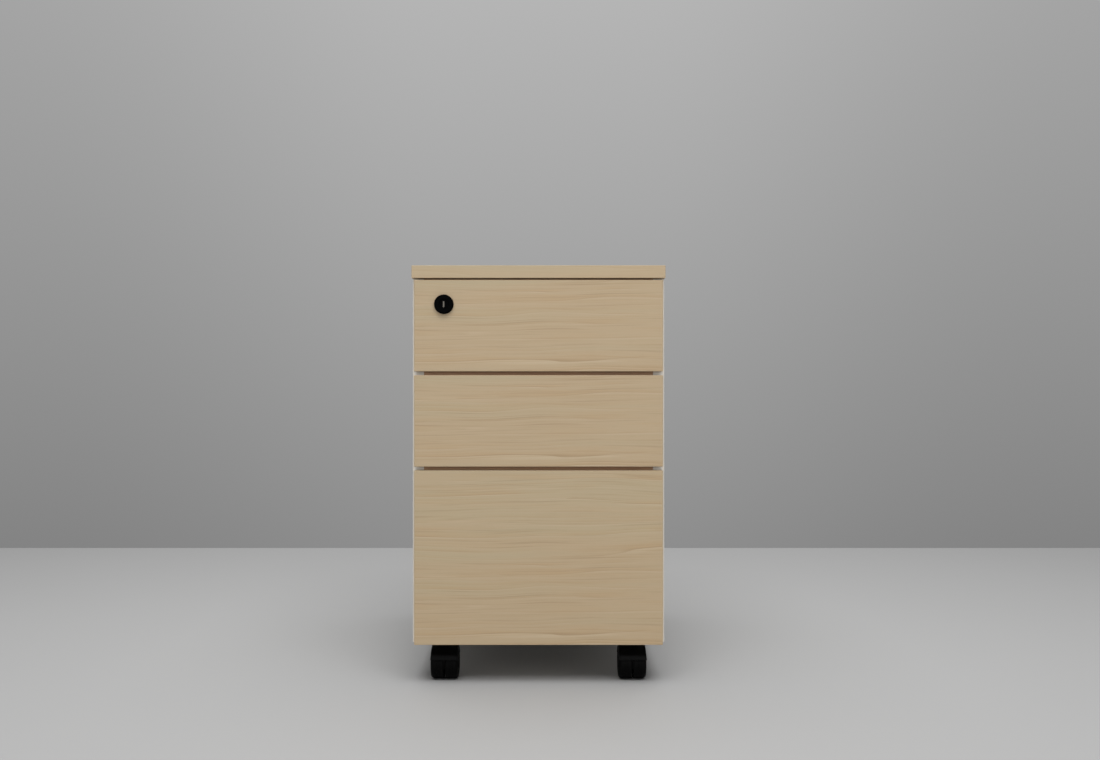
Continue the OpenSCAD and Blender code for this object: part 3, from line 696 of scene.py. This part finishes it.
def wheel_profile(width, radius):
    """A wheel's section as (radius, distance from the inner face), with a moulded outer face."""
    tread = [(radius - RIM_T, 0), (radius - INNER_ROUND, 0)]
    tread += arc((radius - INNER_ROUND, INNER_ROUND), INNER_ROUND, -90, 0, 4)[1:]
    for share in (0.35, 0.55):
        x = width * share
        tread += [(radius, x - GROOVE_W), (radius - GROOVE_DEPTH, x - GROOVE_W / 2),
                  (radius - GROOVE_DEPTH, x + GROOVE_W / 2), (radius, x + GROOVE_W)]
    tread += arc((radius - TREAD_ROUND, width - TREAD_ROUND), TREAD_ROUND, 0, 90, 12)
    # Each point of the outer face is a share of the radius, and a depth below the face
    outer_face = [(0.76, 0), (0.75, GROOVE_DEPTH), (0.735, GROOVE_DEPTH), (0.725, 0), (0.70, 0),
                  (0.67, DISH_DEPTH), (0.38, DISH_DEPTH), (0.35, 0.6 * MM), (0.33, 0.1 * MM),
                  (0.30, 0), (0.08, 0), (0, 0.2 * MM)]
    face = [(share * radius, width - depth) for share, depth in outer_face]
    web = width - WEB_T
    rim_r = radius - RIM_T
    inside = [(0, BORE_END), (WHEEL_BORE_R, BORE_END), (WHEEL_BORE_R, HUB_START), (HUB_R, HUB_START),
              (HUB_R, web - MM), (HUB_R + MM, web), (rim_r - MM, web), (rim_r, web - MM)]
    return tread + face + inside


def make_wheels():
    for caster in CASTERS:
        for side, sign in (("left", -1), ("right", 1)):
            node = f"{caster}_{side}_wheel"
            low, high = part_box(node)
            middle = (low + high) / 2
            inner_x = high.x if sign < 0 else low.x
            turn = turned((inner_x, middle.y, middle.z), sign * 90, "Y")
            profile = wheel_profile(high.x - low.x, (high.z - low.z) / 2)
            bm = bmesh.new()
            lathe(bm, profile, turn, FINE_STEPS, closed=True)
            stand_for(finish_mesh(f"{node}_turned", bm, TYRE), node)


def make_casters():
    make_wheels()
    for caster in CASTERS:
        refine(f"{caster}_hood", NYLON, width=0.45 * MM, shortest=1.2 * MM, angle=45)


# ---- Stage, light and camera ----

EYE_Z = 0.4795
CAMERA_TO_FRONT = 1.647
LENS = 34.26
SENSOR = 36
SHIFT_X = 0.01045
FLOOR_BACK_Y = 1.094
FLOOR_SIZE = 12.0


def make_floor():
    """A pale studio floor that ends in a straight far edge, as the floor in front of a wall does."""
    bm = bmesh.new()
    bmesh.ops.create_grid(bm, x_segments=8, y_segments=8, size=0.5)
    place = Matrix.Translation((0, FLOOR_BACK_Y - FLOOR_SIZE / 2, 0))
    spread = Matrix.Diagonal((2 * FLOOR_SIZE, FLOOR_SIZE, 1, 1))
    bmesh.ops.transform(bm, verts=bm.verts, matrix=place @ spread)
    s = Shader("pale_floor", Roughness=0.7, Specular_IOR_Level=0.15)
    cloud = s.noise(s.coords(), scale=2.0)
    s.to(s.mix(cloud, (0.375, 0.375, 0.375), (0.383, 0.383, 0.383)), "Base Color")
    floor = finish_mesh("floor", bm, s.material)
    return floor


def make_world():
    """A plain grey room, brighter overhead than at the horizon and a little darker to the sides."""
    world = bpy.data.worlds.new("studio")
    bpy.context.scene.world = world
    world.use_nodes = True
    tree = Nodes(world.node_tree)
    x, _, z = tree.split(tree.coords("Generated"))
    by_height = tree.ramp(z, -0.18, 0.42, 0.26, 0.49, kind="LINEAR")
    by_side = tree.ramp(tree.math("ABSOLUTE", x), 0.08, 0.46, 1.0, 0.83)
    background = tree.nodes["Background"]
    background.inputs["Color"].default_value = (1, 1, 1, 1)
    tree.feed(tree.math("MULTIPLY", by_height, by_side), background.inputs["Strength"])


def area(name, place, aim, size, watts, skips=None, only=None):
    """A soft rectangular lamp. It lights every object, every object but skips, or just only."""
    light = bpy.data.lights.new(name, "AREA")
    light.shape = "RECTANGLE"
    light.size, light.size_y = size
    light.energy = watts
    lamp = bpy.data.objects.new(name, light)
    bpy.context.scene.collection.objects.link(lamp)
    lamp.location = place
    lamp.rotation_euler = (Vector(aim) - Vector(place)).to_track_quat("-Z", "Y").to_euler()
    if skips or only:
        receivers = bpy.data.collections.new(f"{name}_receivers")
        receivers.objects.link(skips or only)
        receivers.collection_objects[0].light_linking.link_state = "EXCLUDE" if skips else "INCLUDE"
        lamp.light_linking.receiver_collection = receivers


def make_light(floor):
    """One lamp washes the floor alone, so the floor's and the cabinet's brightness are set apart."""
    area("key", place=(0.1, -1.8, 2.9), aim=(0, 0, 0.35), size=(2.6, 1.6), watts=52)
    area("fill", place=(0, -3.2, 0.75), aim=(0, 0, 0.42), size=(3.0, 0.9), watts=20, skips=floor)
    area("floor_wash", place=(0, -0.2, 2.8), aim=(0, -0.2, 0), size=(2.6, 2.6), watts=54, only=floor)
    area("back", place=(-0.8, 2.6, 2.0), aim=(0, 0, 0.3), size=(2.0, 1.5), watts=18, skips=floor)
    for x in (-3.0, 3.0):
        area("side", place=(x, 0.4, 1.9), aim=(0, 0, 0.3), size=(1.6, 1.6), watts=10, skips=floor)


def make_camera():
    data = bpy.data.cameras.new("camera")
    data.lens = LENS
    data.sensor_width = SENSOR
    data.shift_x = SHIFT_X
    data.clip_start = 0.05
    camera = bpy.data.objects.new("camera", data)
    camera.location = (0, FRONT_Y - CAMERA_TO_FRONT, EYE_Z)
    camera.rotation_euler = (math.radians(90), 0, 0)
    bpy.context.scene.collection.objects.link(camera)
    bpy.context.scene.camera = camera


# ---- The whole scene ----

for part in frame["record"]["subparts"]:
    cad = frame["nodes"][part["node"]]
    cad.data.materials.clear()
    cad.data.materials.append(SLOT_LOOKS[part["material_slot"]])

make_carcass()
make_fronts()
make_boxes()
make_fittings()
make_screws()
make_bumpers()
make_lock()
make_casters()
stage_floor = make_floor()
make_world()
make_light(stage_floor)
make_camera()
bpy.context.scene.view_settings.view_transform = "Standard"
